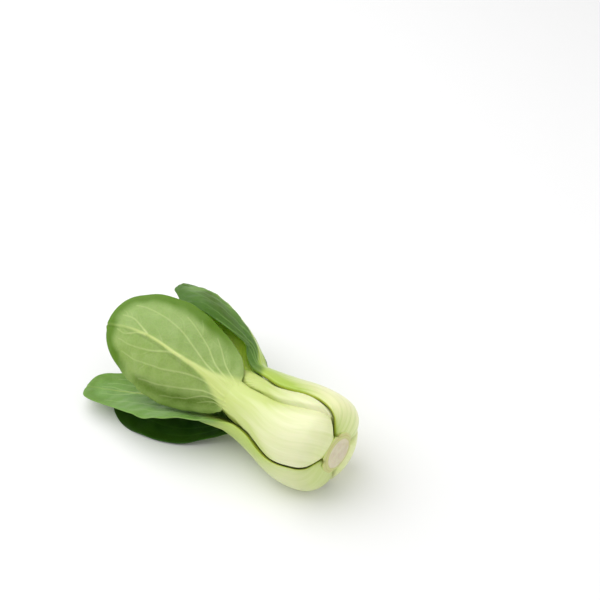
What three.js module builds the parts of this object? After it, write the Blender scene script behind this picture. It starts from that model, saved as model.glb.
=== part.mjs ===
// One head of baby bok choy lying on its side, as it is cut and sold.
// Millimetres, +Z up. +X points out of the cut end of the stem and -X to the leaf tips.
// The origin is on the surface that the head lies on, under the middle of its length and width.
//
// The head is built round its own axis: u runs from the cut face towards the leaf tips, and an azimuth
// goes round it, 0 degrees up and 90 degrees towards +Y. Station s is the length along a leaf from its base.
// The stalks are packed in layers under one round outline, the bulb, and each leaf that lies under others
// dives below them. Past the neck each blade follows a route of its own.
import * as THREE from "three";

// Driving dimensions
const HEAD_LENGTH = 151; // cut face to the furthest leaf tip
const CUT_RADIUS = 8.9; // cut face of the stem
const AXIS_HEIGHT = 25.7; // axis above the surface: less than the bulb's radius, which leaves a flat spot
const COVER_REACH = 1.1; // a covered leaf stays down for this far past the margin of the leaf over it
const COVER_SLOPE = 1.6; // how steeply a covered leaf comes up again past that, millimetre for millimetre
const CROWN_LENGTH = 20;
const CONE_SLOPE = 0.28; // the stem narrows by this much for each millimetre towards its tip
const CONE_FADE = 12; // station where the roots stop following the stem's cone
const FREE_BEFORE = 12; // a leaf begins to leave its layer this far before the station where it is free
const FREE_AFTER = 10; // and has left it this far past that station
const DIVE_START = 48; // station where the leaves of the second ring begin to dive

// Outline of the bulb and the neck: station, u, radius
const OUTLINE = [
  [-6, 1.0, 3.6],
  [0, 1.0, 9.6],
  [4.2, 0.8, 13.8],
  [8.6, 1.3, 18.2],
  [13.5, 3.4, 22.6],
  [19.3, 8.2, 25.9],
  [28.2, 17.0, 27.3],
  [38.2, 27.0, 26.8],
  [51.5, 40.0, 24.0],
  [64.8, 53.0, 21.4],
  [77.9, 66.0, 19.7],
  [91.0, 79.0, 18.7],
  [109, 97.0, 18.0],
];

// Stalks: station, half width, thickness at the middle, thickness at the margin
const WIDE_STALK = [
  [0, 7.4, 5.6, 1.6],
  [8.6, 14.2, 6.4, 1.6],
  [19.3, 22.0, 7.0, 1.5],
  [30, 23.6, 7.2, 1.4],
  [40, 20.2, 7.2, 1.3],
  [51.5, 14.8, 6.9, 1.3],
  [64.8, 11.3, 6.4, 1.2],
  [77.9, 10.2, 5.8, 1.1],
  [92, 5.6, 4.4, 1.0],
  [110, 3.0, 3.0, 0.9],
  [135, 1.9, 2.0, 0.8],
  [160, 1.1, 1.2, 0.8],
  [185, 0.8, 1.0, 0.8],
];
const SLIM_STALK = [
  [0, 7.4, 5.6, 1.6],
  [8.6, 14.6, 6.4, 1.6],
  [19.3, 18.8, 7.0, 1.5],
  [30, 18.8, 7.2, 1.4],
  [40, 17.6, 7.0, 1.3],
  [51.5, 15.0, 6.6, 1.3],
  [64.8, 12.4, 6.0, 1.2],
  [77.9, 10.4, 5.2, 1.1],
  [92, 5.8, 4.0, 1.0],
  [110, 3.0, 2.8, 0.9],
  [135, 1.9, 1.9, 0.8],
  [160, 1.1, 1.2, 0.8],
  [185, 0.8, 1.0, 0.8],
];
const NARROW_STALK = [
  [0, 7.4, 5.6, 1.6],
  [8.6, 14.2, 6.4, 1.5],
  [19.3, 19.6, 7.0, 1.3],
  [30, 19.6, 7.2, 1.1],
  [40, 16.6, 7.2, 1.1],
  [51.5, 12.8, 6.9, 1.1],
  [64.8, 10.6, 6.4, 1.1],
  [77.9, 10.2, 5.8, 1.1],
  [92, 5.6, 4.4, 1.0],
  [110, 3.0, 3.0, 0.9],
  [135, 1.9, 2.0, 0.8],
  [160, 1.1, 1.2, 0.8],
  [185, 0.8, 1.0, 0.8],
];
const NECK = 74; // station of the neck on a full-sized stalk

const rad = THREE.MathUtils.degToRad;
const clamp = THREE.MathUtils.clamp;

// A smooth line through knots that start with their station, with slopes from their neighbours.
function along(knots, s, column = 1) {
  const last = knots.length - 1;
  if (s <= knots[0][0]) return knots[0][column];
  if (s >= knots[last][0]) return knots[last][column];
  let i = 0;
  while (s > knots[i + 1][0]) i++;
  const slope = (k) => {
    const a = knots[Math.max(k - 1, 0)];
    const b = knots[Math.min(k + 1, last)];
    return (b[column] - a[column]) / (b[0] - a[0]);
  };
  const span = knots[i + 1][0] - knots[i][0];
  const t = (s - knots[i][0]) / span;
  const t2 = t * t;
  const t3 = t2 * t;
  return (
    (2 * t3 - 3 * t2 + 1) * knots[i][column] +
    (t3 - 2 * t2 + t) * span * slope(i) +
    (3 * t2 - 2 * t3) * knots[i + 1][column] +
    (t3 - t2) * span * slope(i + 1)
  );
}

function smoothStep(low, high, x) {
  const t = clamp((x - low) / (high - low), 0, 1);
  return t * t * (3 - 2 * t);
}

// The larger of two depths, rounded where they meet.
function smoothMax(a, b, rounding = 0.8) {
  return (a + b + Math.sqrt((a - b) ** 2 + rounding ** 2)) / 2;
}

// A point at a depth under the head's outline. The roots of deeper leaves sit further in, on the stem's cone.
function shellPoint(s, azimuth, depth) {
  const m = s - CONE_SLOPE * depth * Math.max(0, 1 - s / CONE_FADE);
  const step = 0.5;
  const du = along(OUTLINE, m + step) - along(OUTLINE, m - step);
  const dr = along(OUTLINE, m + step, 2) - along(OUTLINE, m - step, 2);
  const length = Math.hypot(du, dr);
  const radius = Math.max(0.2, along(OUTLINE, m, 2) - (du / length) * depth);
  return new THREE.Vector3(
    along(OUTLINE, m) + (dr / length) * depth,
    radius * Math.sin(azimuth),
    radius * Math.cos(azimuth),
  );
}

function halfStalk(leaf, s) {
  return leaf.width * along(leaf.stalk, s / leaf.stretch, 1);
}

function middleThickness(leaf, s) {
  return leaf.thickness * along(leaf.stalk, s / leaf.stretch, 2);
}

// Thickness at a distance x from the middle of the leaf: a fleshy stalk, then a rib in a thin blade.
function thicknessAt(leaf, s, x) {
  const margin = leaf.margin * along(leaf.stalk, s / leaf.stretch, 3);
  const q = Math.min(1, Math.abs(x) / halfStalk(leaf, s));
  return margin + Math.max(0, middleThickness(leaf, s) - margin) * (1 - q * q) ** 0.75;
}

// The stalk is smooth outside and full inside. Past the neck the rib stands out on both sides of the blade.
function ribStandsOut(leaf, s) {
  return 0.6 * smoothStep(leaf.neck - 14, leaf.neck + 26, s);
}

// Azimuth of the middle of the stalk.
function middleAzimuth(leaf, s) {
  return rad(along(leaf.azimuth, s / leaf.stretch));
}

// Radians from the middle of the stalk to another azimuth, the short way round.
function turnTo(leaf, s, azimuth) {
  const turn = azimuth - middleAzimuth(leaf, s);
  return Math.atan2(Math.sin(turn), Math.cos(turn));
}

// 0 where the leaf lies packed in its layer, 1 where it follows its own route.
function freedom(leaf, s) {
  return smoothStep(leaf.free - FREE_BEFORE, leaf.free + FREE_AFTER, s);
}

// Depth of the stalk's outer face. Leaves in leaf.under lie over it and push it down.
function outerDepth(leaf, s, azimuth) {
  const x = turnTo(leaf, s, azimuth) * along(OUTLINE, s, 2);
  const q = Math.min(1.2, Math.abs(x) / halfStalk(leaf, s));
  let depth = along(leaf.sink, s) + leaf.lobe * q * q + leaf.dive * smoothStep(DIVE_START, NECK, s);
  for (const over of leaf.under) {
    const reach = COVER_REACH / along(OUTLINE, s, 2);
    const inner = Math.max(...[-reach, 0, reach].map((turn) => innerDepth(over, s, azimuth + turn)));
    depth = smoothMax(depth, inner + along(leaf.gap, s));
  }
  return depth;
}

// Depth of the stalk's inner face, ramping away past its margins.
function innerDepth(leaf, s, azimuth) {
  const radius = along(OUTLINE, s, 2);
  const half = halfStalk(leaf, s);
  const x = turnTo(leaf, s, azimuth) * radius;
  const inside = clamp(x, -half, half);
  const beyond = Math.abs(x) - half;
  const at = middleAzimuth(leaf, s) + inside / radius;
  const thickness = thicknessAt(leaf, s, inside);
  const lowered = ribStandsOut(leaf, s) * (middleThickness(leaf, s) - thickness);
  return outerDepth(leaf, s, at) + lowered + thickness - Math.max(0, beyond) * COVER_SLOPE;
}

// Where the middle of the leaf's outer face runs: in its layer up to the neck, then along leaf.route.
function spinePoint(leaf, s) {
  if (s <= leaf.free) {
    const azimuth = middleAzimuth(leaf, s);
    return shellPoint(s, azimuth, outerDepth(leaf, s, azimuth));
  }
  return new THREE.Vector3(along(leaf.path, s, 1), along(leaf.path, s, 2), along(leaf.path, s, 3));
}

// Half width of the whole leaf: the stalk, and past the neck the oval blade too.
function halfWidth(leaf, s) {
  const q = clamp((s - leaf.neck) / (leaf.length - leaf.neck), 0, 1);
  const oval = leaf.blade * 2 ** (leaf.fore + leaf.aft) * q ** leaf.fore * (1 - q) ** leaf.aft;
  return Math.hypot(halfStalk(leaf, s) * (1 - 0.6 * q), 0.98 * oval);
}

// Side and outward directions of the leaf at a station.
function frameAt(leaf, s) {
  const step = 1;
  const tangent = spinePoint(leaf, Math.min(s + step, leaf.length))
    .sub(spinePoint(leaf, Math.max(s - step, 0)))
    .normalize();
  const facing = rad(along(leaf.facing, s));
  const out = new THREE.Vector3(0, Math.sin(facing), Math.cos(facing));
  out.addScaledVector(tangent, -out.dot(tangent)).normalize();
  return { side: new THREE.Vector3().crossVectors(out, tangent), out };
}

// A point of the leaf's reference sheet: x is measured across the leaf from its middle.
function sheetPoint(leaf, s, x) {
  const free = freedom(leaf, s);
  const point = spinePoint(leaf, s);
  if (free < 1) {
    const middle = middleAzimuth(leaf, s);
    const azimuth = middle + x / along(OUTLINE, s, 2);
    const packed = shellPoint(s, azimuth, outerDepth(leaf, s, azimuth));
    packed.sub(shellPoint(s, middle, outerDepth(leaf, s, middle)));
    point.addScaledVector(packed, 1 - free);
  }
  if (free > 0) {
    const { side, out } = frameAt(leaf, s);
    const bend = along(leaf.bend, s) * (x > 0 ? along(leaf.open, s) : 1);
    const q = (s - leaf.neck) / (leaf.length - leaf.neck);
    const edge = Math.min(1, Math.abs(x) / leaf.blade) ** 2;
    const wave = leaf.wave * edge * Math.sin(2 * Math.PI * leaf.waves * q + leaf.phase + (x > 0 ? 2 : 0));
    const fold = leaf.fold * (Math.hypot(x, 3) - 3);
    const rise = Math.abs(bend) < 1e-4 ? 0 : (Math.cos(bend * x) - 1) / bend;
    const reach = Math.abs(bend) < 1e-4 ? x : Math.sin(bend * x) / bend;
    point.addScaledVector(side, free * reach);
    point.addScaledVector(out, free * (rise + wave - fold));
  }
  return point;
}

// Outward direction of the sheet, from its slopes along and across.
function sheetNormal(leaf, s, x) {
  const step = 0.8;
  const s1 = Math.min(s + step, leaf.length);
  const s0 = Math.max(s - step, 0);
  const lengthwise = sheetPoint(leaf, s1, x).sub(sheetPoint(leaf, s0, x));
  const across = sheetPoint(leaf, s, x + step).sub(sheetPoint(leaf, s, x - step));
  return across.cross(lengthwise).normalize().negate();
}

// The leaf's outer and inner faces at one place.
function facesAt(leaf, s, x) {
  const thickness = thicknessAt(leaf, s, x);
  const lowered = ribStandsOut(leaf, s) * (middleThickness(leaf, s) - thickness);
  const free = freedom(leaf, s);
  const inward = new THREE.Vector3();
  if (free < 1) {
    const azimuth = middleAzimuth(leaf, s) + x / along(OUTLINE, s, 2);
    const depth = outerDepth(leaf, s, azimuth);
    inward.add(shellPoint(s, azimuth, depth + 1).sub(shellPoint(s, azimuth, depth)));
    inward.normalize().multiplyScalar(1 - free);
  }
  if (free > 0) inward.addScaledVector(sheetNormal(leaf, s, x), -free);
  inward.normalize();
  const outer = sheetPoint(leaf, s, x).addScaledVector(inward, lowered);
  const inner = outer.clone().addScaledVector(inward, thickness);
  return [outer, inner];
}

// Columns crowd on the rib, and are even across the stalk.
function columnAt(leaf, s, c) {
  const ribShare = 1 / 3;
  const full = halfWidth(leaf, s);
  const rib = Math.min(ribShare * full, halfStalk(leaf, s));
  const a = Math.abs(c);
  const lopsided = 1 - Math.sign(c) * along(leaf.skew, s);
  const reach = a < ribShare ? (a / ribShare) * rib : rib + ((a - ribShare) / (1 - ribShare)) * (full - rib);
  return Math.sign(c) * lopsided * reach;
}

// Stations of the rows: even along the stalk, closer at both ends of the blade.
function rowStations(leaf) {
  const tipTrim = 0.0015; // the blade's length that is left off so that its tip stays a clean edge
  const rows = [];
  for (let i = 0; i < leaf.stalkRows; i++) rows.push((leaf.neck * i) / leaf.stalkRows);
  for (let i = 0; i <= leaf.bladeRows; i++) {
    const q = (1 - Math.cos((Math.PI * i) / leaf.bladeRows)) / 2;
    rows.push(leaf.neck + (leaf.length - leaf.neck) * q * (1 - tipTrim));
  }
  return rows;
}

// From the head's own (u, y, z) to the part's frame, resting on the surface.
function toPart(point) {
  const x = HEAD_LENGTH / 2 - point.x;
  return [x, point.y, Math.max(0, point.z + AXIS_HEIGHT)];
}

// One closed solid: an outer and an inner face of the same grid, joined round the edge.
function leafGeometry(leaf) {
  const rows = rowStations(leaf);
  const wide = leaf.columns + 1;
  const perFace = rows.length * wide;
  const positions = new Float32Array(perFace * 6);
  rows.forEach((s, i) => {
    for (let j = 0; j < wide; j++) {
      const x = columnAt(leaf, s, (2 * j) / leaf.columns - 1);
      const faces = facesAt(leaf, s, x);
      faces.forEach((point, k) => positions.set(toPart(point), 3 * (k * perFace + i * wide + j)));
    }
  });
  const index = [];
  const quad = (a, b, c, d) => index.push(a, b, c, a, c, d);
  for (let i = 0; i + 1 < rows.length; i++) {
    for (let j = 0; j < leaf.columns; j++) {
      const a = i * wide + j;
      quad(a, a + 1, a + wide + 1, a + wide);
      const b = a + perFace;
      index.push(b, b + wide + 1, b + 1, b, b + wide, b + wide + 1);
    }
    const left = i * wide;
    const right = left + leaf.columns;
    quad(left, left + wide, left + wide + perFace, left + perFace);
    quad(right, right + perFace, right + wide + perFace, right + wide);
  }
  const end = (rows.length - 1) * wide;
  for (let j = 0; j < leaf.columns; j++) {
    quad(j, j + perFace, j + 1 + perFace, j + 1);
    quad(end + j, end + j + 1, end + j + 1 + perFace, end + j + perFace);
  }
  return new THREE.BufferGeometry()
    .setAttribute("position", new THREE.BufferAttribute(positions, 3))
    .setIndex(index);
}

// A leaf from its own values, with the rest worked out from its size.
function makeLeaf(values) {
  const leaf = {
    stalk: WIDE_STALK, stretch: 1, width: 1, thickness: 1, margin: 1, sink: 0, lobe: 1.5, under: [],
    fore: 0.5, aft: 0.5, wave: 0.8, waves: 2.2, phase: 0, fold: 0.05, skew: 0, open: [[0, 1]],
    dive: 0, gap: 0.45, stalkRows: 10, bladeRows: 12, columns: 12, ...values,
  };
  for (const key of ["azimuth", "skew", "gap", "sink"]) {
    if (!Array.isArray(leaf[key])) leaf[key] = [[0, leaf[key]]];
  }
  leaf.neck = NECK * leaf.stretch;
  leaf.free ??= leaf.neck;
  const packed = leaf.free > 0 ? [leaf.free - 16, leaf.free - 8, leaf.free] : [];
  leaf.path = [...packed.map((s) => [s, ...spinePoint(leaf, s).toArray()]), ...leaf.route];
  leaf.length = leaf.route.at(-1)[0];
  return leaf;
}

// Outer leaves. Routes are station, u, y, z; facing is the azimuth that the back of the blade looks to.
const left = makeLeaf({
  name: "leaf_left",
  azimuth: [[0, -126], [22, -126], [36, -129], [46, -127], [56, -119.5], [74, -119]],
  stalk: SLIM_STALK,
  blade: 24.2,
  aft: 0.4,
  fold: 0.02,
  sink: [[15, 0], [40, -0.9], [60, 0]],
  skew: [[0, 0], [120, 0.02], [145, 0.08], [163, 0.3]],
  open: [[62, 1], [76, 0]],
  route: [
    [92, 80, -17.5, -12],
    [110, 98, -18, -13.5],
    [126, 114, -20.5, -15.5],
    [142, 129, -25.2, -17.9],
    [163, 148.4, -33.6, -18.4],
  ],
  facing: [[64, -121], [78, -136], [92, -150], [110, -162], [163, -165]],
  bend: [[64, 1 / 14], [80, 1 / 12], [92, 1 / 18], [110, 1 / 30], [126, 1 / 60], [163, 1 / 80]],
});
const far = makeLeaf({
  name: "leaf_far",
  azimuth: [[0, 50], [14, 50], [26, 52.5], [36, 50], [44, 45], [55, 42], [66, 49], [80, 53]],
  stalk: SLIM_STALK,
  blade: 21,
  fore: 0.66,
  aft: 0.3,
  sink: [[15, 0], [35, 0.8], [50, 0.5], [66, 0]],
  skew: [[0, -0.05], [100, -0.05], [130, 0.15], [148, 0.05]],
  route: [
    [82, 69, 20.8, 14],
    [90, 76.5, 24.8, 17],
    [98, 84, 27.8, 19.2],
    [114, 99.5, 32, 22.3],
    [130, 115.5, 33.8, 22.8],
    [148, 133.2, 31.2, 20.2],
  ],
  facing: [[64, 50], [78, 57], [92, 55], [110, 50], [130, 40], [148, 28]],
  bend: [[64, 1 / 18], [78, 1 / 50], [92, 1 / 34], [120, 1 / 32], [148, 1 / 40]],
});
const top = makeLeaf({
  name: "leaf_top",
  azimuth: [[0, -33], [10, -36], [20, -43], [30, -50], [44, -51], [57, -46], [70, -43], [80, -37]],
  stalk: NARROW_STALK,
  blade: 29.6,
  fore: 0.42,
  aft: 0.42,
  skew: [[50, 0], [90, 0.06], [125, 0.05], [146, 0.08], [160, 0.14]],
  under: [left, far],
  route: [
    [94, 80, -12.5, 19],
    [112, 97, -14, 23],
    [130, 114.5, -14.6, 25.5],
    [146, 130, -16.2, 24.4],
    [160, 143.2, -17.8, 20.2],
  ],
  facing: [[64, -40], [90, -38], [160, -38]],
  bend: [[64, 1 / 18], [78, 1 / 26], [95, 1 / 40], [115, 1 / 55], [160, 1 / 45]],
});
const under = makeLeaf({
  name: "leaf_under",
  azimuth: [[0, 141], [40, 141], [60, 131], [74, 128]],
  blade: 21.5,
  fore: 0.75,
  skew: 0.1,
  gap: 0.9,
  under: [left, far],
  route: [
    [92, 80.5, 18.5, -14.5],
    [110, 98, 22.5, -17],
    [126, 114, 25.5, -17.5],
    [142, 129.5, 27.5, -17],
    [154, 141.5, 28.5, -15.5],
  ],
  facing: [[64, 130], [90, 126], [154, 124]],
  bend: [[64, 1 / 16], [90, 1 / 24], [120, 1 / 26], [154, 1 / 34]],
});

// Second ring, in the gaps of the first and under its margins. Each blade overlaps the next one round.
const second = {
  stretch: 0.93, width: 0.84, thickness: 0.82, lobe: 1.0, gap: 0.8, fore: 0.62,
  stalkRows: 9, bladeRows: 10, columns: 10,
};
const between = makeLeaf({
  ...second,
  name: "leaf_between",
  azimuth: [[0, 0], [50, 0], [66, 6], [80, 2]],
  width: 0.86,
  gap: [[0, 0.5], [58, 0.6], [72, 1.6]],
  blade: 19,
  fore: 0.8,
  skew: [[0, -0.15], [60, -0.15], [80, -0.1]],
  sink: 1.0,
  open: [[74, 1], [90, 0.3]],
  dive: 1.6,
  under: [top, far],
  route: [
    [84, 72, 2, 15],
    [100, 88, 5.5, 17],
    [118, 106, 8.5, 19],
    [136, 124, 10, 20.5],
  ],
  facing: [[60, 2], [80, -3], [136, -2]],
  bend: [[60, 1 / 9], [74, 1 / 9.5], [86, 1 / 15], [136, 1 / 20]],
});
const near = makeLeaf({
  ...second,
  name: "leaf_near",
  azimuth: -86,
  width: 0.76,
  blade: 11.5,
  gap: 1.2,
  sink: 1.0,
  dive: 1.5,
  under: [top, left],
  route: [
    [84, 72, -12.8, 3],
    [100, 88, -12.4, 5],
    [116, 104, -12.8, 6.5],
    [130, 118, -13.2, 7.5],
  ],
  facing: [[60, -88], [80, -90], [130, -88]],
  bend: [[60, 1 / 15], [84, 1 / 20], [130, 1 / 24]],
});
const back = makeLeaf({
  ...second,
  name: "leaf_back",
  azimuth: 93,
  width: 0.72,
  blade: 16,
  gap: 3.0,
  sink: 1.0,
  dive: 2.5,
  under: [far, under],
  route: [
    [84, 72, 13.6, 0],
    [100, 88, 14.2, 0],
    [116, 104, 16, -0.5],
    [132, 120, 17.5, -0.5],
  ],
  facing: [[60, 92], [80, 86], [132, 86]],
  bend: [[60, 1 / 11], [84, 1 / 15], [132, 1 / 20]],
});
const low = makeLeaf({
  ...second,
  name: "leaf_low",
  azimuth: 180,
  width: 0.72,
  blade: 22.6,
  fold: 0,
  gap: 1.3,
  sink: 1.0,
  skew: [[62, 0], [92, 0.09]],
  fore: 0.9,
  open: [[60, 1], [74, 0]],
  free: 62,
  under: [left, under],
  bladeRows: 12,
  route: [
    [74, 61.5, -0.8, -18.4],
    [82, 68.8, -3.5, -19.8],
    [94, 80, -8, -23.2],
    [110, 95, -13, -25.6],
    [126, 110.5, -16.5, -26],
    [142, 126, -19.5, -25.6],
    [153, 137, -22, -25],
  ],
  facing: [[0, 180]],
  bend: [[50, 1 / 14], [72, 1 / 13], [84, 1 / 15], [100, 1 / 26], [126, 1 / 60], [153, 1 / 60]],
});

// Third ring: small leaves that stand round the heart.
const RING_START = 14; // where the third ring's stalks leave the stem
const third = {
  stretch: 0.72, width: 0.33, thickness: 0.5, lobe: 0, free: -10, wave: 0.3, waves: 1.6, blade: 7,
  stalkRows: 7, bladeRows: 8, columns: 8,
};
const ring = ["a", "b", "c", "d"].map((letter, i) => {
  const azimuth = 48 + 90 * i;
  const length = 96 - 3 * i;
  const y = Math.sin(rad(azimuth));
  const z = Math.cos(rad(azimuth));
  const at = (s, radius) => [s, RING_START + s, radius * y, radius * z];
  return makeLeaf({
    ...third,
    name: "leaf_inner_" + letter,
    azimuth,
    route: [at(0, 8.8), at(12, 11.4), at(24, 11), at(40, 9), at(54, 7.8), at(70, 7.4), at(length, 8.6)],
    facing: [[0, azimuth], [40, azimuth - 4], [56, azimuth - 16], [length, azimuth - 20]],
    bend: [[0, 1 / 9], [40, 1 / 8], [56, 1 / 7.5], [length, 1 / 9]],
  });
});

// The short stem that all leaves grow from: the cut face, and a cone that ends inside the head.
function crownGeometry() {
  const root = CUT_RADIUS + 0.4;
  const tip = root - CONE_SLOPE * CROWN_LENGTH;
  const profile = [
    new THREE.Vector2(0, 0),
    new THREE.Vector2(CUT_RADIUS, 0),
    new THREE.Vector2(root, 0.9),
    new THREE.Vector2(tip, CROWN_LENGTH),
    new THREE.Vector2(tip * 0.7, CROWN_LENGTH + 1.6),
    new THREE.Vector2(0, CROWN_LENGTH + 2.4),
  ];
  const lathe = new THREE.LatheGeometry(profile, 32);
  const place = new THREE.Matrix4().makeRotationZ(Math.PI / 2);
  place.premultiply(new THREE.Matrix4().makeTranslation(HEAD_LENGTH / 2, 0, AXIS_HEIGHT));
  return lathe.applyMatrix4(place);
}

const STALK_GREEN = new THREE.Color(0.78, 0.86, 0.55);
const BLADE_GREEN = new THREE.Color(0.3, 0.5, 0.15);
const CUT_WHITE = new THREE.Color(0.86, 0.85, 0.72);

const head = new THREE.Group();
function addMesh(name, geometry, color, roughness) {
  const material = new THREE.MeshStandardMaterial({ color, roughness, metalness: 0 });
  const mesh = new THREE.Mesh(geometry, material);
  mesh.name = name;
  head.add(mesh);
}

addMesh("stem_crown", crownGeometry(), CUT_WHITE, 0.6);
for (const leaf of [left, far, top, under, between, near, back, low, ...ring]) {
  addMesh(leaf.name, leafGeometry(leaf), leaf.thickness < 0.8 ? STALK_GREEN : BLADE_GREEN, 0.45);
}

// The origin comes under the middle of the head's length and width.
const middle = new THREE.Box3().setFromObject(head).getCenter(new THREE.Vector3());
head.position.set(-middle.x, -middle.y, 0);

export default head;
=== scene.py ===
"""Head of baby bok choy: finer leaves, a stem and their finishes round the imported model.

Form values are millimetres and degrees in the head's own frame. There u runs from the cut face towards the
leaf tips and azimuth 0 is up. On a leaf, station s is the length from its base and x the distance across.
Most values are those of the part's source. Here the stalks' margins are thinner and the leaves lie closer,
because these pieces may touch. Meshes, the camera and the stage are in metres in the part's frame.
"""
import math

import bpy
import numpy as np
from bpy.props import FloatProperty, FloatVectorProperty, IntProperty, PointerProperty
from mathutils import Matrix, Vector


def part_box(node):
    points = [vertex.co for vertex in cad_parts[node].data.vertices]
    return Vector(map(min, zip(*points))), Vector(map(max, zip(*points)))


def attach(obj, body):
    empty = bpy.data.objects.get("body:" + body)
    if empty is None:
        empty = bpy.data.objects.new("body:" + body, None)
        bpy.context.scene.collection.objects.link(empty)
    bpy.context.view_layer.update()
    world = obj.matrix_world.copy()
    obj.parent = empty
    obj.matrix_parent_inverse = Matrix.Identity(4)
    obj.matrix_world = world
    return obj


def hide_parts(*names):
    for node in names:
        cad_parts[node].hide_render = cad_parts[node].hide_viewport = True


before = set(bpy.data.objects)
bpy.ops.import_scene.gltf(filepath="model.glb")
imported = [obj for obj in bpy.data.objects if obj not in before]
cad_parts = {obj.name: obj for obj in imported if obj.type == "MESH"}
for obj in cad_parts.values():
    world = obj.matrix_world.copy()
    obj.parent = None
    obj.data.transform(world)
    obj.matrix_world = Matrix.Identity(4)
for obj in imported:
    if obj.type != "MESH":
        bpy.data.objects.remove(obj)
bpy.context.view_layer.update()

bl_info = {
    "name": "Head of baby bok choy",
    "version": (1, 0, 0),
    "blender": (4, 5, 0),
    "location": "3D View > Sidebar > Bok choy",
    "description": "Dresses the packed head of baby bok choy with finer leaves and their finishes",
    "category": "Object",
}

CROWN_LOW, CROWN_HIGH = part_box("stem_crown")
CUT_X = CROWN_HIGH.x
AXIS_Y = (CROWN_LOW.y + CROWN_HIGH.y) / 2
AXIS_Z = (CROWN_LOW.z + CROWN_HIGH.z) / 2
MM = 0.001

# Form of the leaves

NECK = 74  # station of the narrow neck of a leaf of full size
COVER_REACH = 1.1  # how far to each side a leaf feels the leaves over it
COVER_SLOPE = 1.6  # how steeply a covering leaf's inner face falls away past its margin
COVER_ROUNDING = 0.8  # how softly the depths that two covering leaves ask for meet
COVER_EDGE = 1.2  # share of the half width up to which a stalk's side keeps curling in
CONE_SLOPE, CONE_FADE = 0.28, 12  # how much later a deeper leaf starts, and the station where that ends
FREE_BEFORE, FREE_AFTER = 12, 10  # a leaf leaves its layer from before its free station to after it
PACKED_KNOTS = (-16, -8, 0)  # a route's first knots, from its free station, which lie in the layer
DIVE_START = 48  # station from which an inner leaf sinks deeper, down to the neck
STALK_CURVE = 0.75  # exponent of the stalk's rounding from its middle to its margin
RIB_SHARE = 0.6  # share of the rib's extra thickness that stands out on the back
RIB_RISE = (-14, 26)  # distances from the neck over which it comes to stand out
RIB_TAPER = 0.6  # share of the stalk's half width that is gone at the tip
OVAL_SHARE = 0.98  # the oval's half width as a share of the blade's
SIDE_PHASE = 2  # shift between the waves of the two margins, in radians
FOLD_ROUNDING = 3  # half width over which the fold along the rib is rounded
FLAT_BEND = 1e-4  # a bend below this counts as flat

# Station, distance u along the head, and radius of the head's outline
OUTLINE = [
    (-6, 1.0, 3.6), (0, 1.0, 9.6), (4.2, 0.8, 13.8), (8.6, 1.3, 18.2), (13.5, 3.4, 22.6),
    (19.3, 8.2, 25.9), (28.2, 17.0, 27.3), (38.2, 27.0, 26.8), (51.5, 40.0, 24.0),
    (64.8, 53.0, 21.4), (77.9, 66.0, 19.7), (91.0, 79.0, 18.7), (109, 97.0, 18.0),
]

# Stations of a stalk's values, and the thicknesses that stalks share
STATIONS = (0, 8.6, 19.3, 30, 40, 51.5, 64.8, 77.9, 92, 110, 135, 160, 185)
FULL_MIDDLE = (5.6, 6.4, 7.0, 7.2, 7.2, 6.9, 6.4, 5.8, 4.4, 3.0, 2.0, 1.2, 1.0)
BLADE_MARGIN = (1.0, 0.9, 0.8, 0.8, 0.8)


def stalk_rows(half_widths, middle, margin):
    """Rows of station, half width, and thickness in the middle and at the margin."""
    return list(zip(STATIONS, half_widths, middle, margin + BLADE_MARGIN))


WIDE_STALK = stalk_rows(
    (7.4, 14.2, 22.0, 23.6, 20.2, 14.8, 11.3, 10.2, 5.6, 3.0, 1.9, 1.1, 0.8),
    FULL_MIDDLE, (1.6, 1.6, 1.5, 1.4, 1.3, 1.3, 1.2, 1.1),
)
SLIM_STALK = stalk_rows(
    (7.4, 14.6, 18.8, 18.8, 17.6, 15.0, 12.4, 10.4, 5.8, 3.0, 1.9, 1.1, 0.8),
    (5.6, 6.4, 7.0, 7.2, 7.0, 6.6, 6.0, 5.2, 4.0, 2.8, 1.9, 1.2, 1.0), (1.6, 1.1) + 6 * (0.9,),
)
NARROW_STALK = stalk_rows(
    (7.4, 14.2, 19.6, 19.6, 16.6, 12.8, 10.6, 10.2, 5.6, 3.0, 1.9, 1.1, 0.8),
    FULL_MIDDLE, (1.6, 1.2, 0.9, 0.8, 0.8, 0.8, 0.8, 0.9),
)


def along(knots, s, column=1):
    """A smooth line through knots that start with their station, with slopes from their neighbours."""
    table = np.asarray(knots, float)
    stations, values = table[:, 0], table[:, column]
    s = np.clip(s, stations[0], stations[-1])
    last = len(stations) - 1
    if last == 0:
        return np.full_like(s, values[0], dtype=float)
    before = np.maximum(np.arange(last + 1) - 1, 0)
    after = np.minimum(np.arange(last + 1) + 1, last)
    slopes = (values[after] - values[before]) / (stations[after] - stations[before])
    i = np.clip(np.searchsorted(stations, s) - 1, 0, last - 1)
    span = stations[i + 1] - stations[i]
    t = (s - stations[i]) / span
    t2, t3 = t * t, t * t * t
    return (
        (2 * t3 - 3 * t2 + 1) * values[i]
        + (t3 - 2 * t2 + t) * span * slopes[i]
        + (3 * t2 - 2 * t3) * values[i + 1]
        + (t3 - t2) * span * slopes[i + 1]
    )


def smooth_step(low, high, x):
    t = np.clip((x - low) / (high - low), 0, 1)
    return t * t * (3 - 2 * t)


def smooth_max(a, b):
    """The larger of two depths, rounded where they meet."""
    return (a + b + np.sqrt((a - b) ** 2 + COVER_ROUNDING**2)) / 2


def unit(vectors):
    return vectors / np.maximum(np.linalg.norm(vectors, axis=-1, keepdims=True), 1e-9)


def round_axis(radius, azimuth, u):
    """Points of the head's own frame at a radius and an azimuth round the axis."""
    radius, azimuth, u = np.broadcast_arrays(radius, azimuth, u)
    return np.stack([u, radius * np.sin(azimuth), radius * np.cos(azimuth)], axis=-1)


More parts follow.
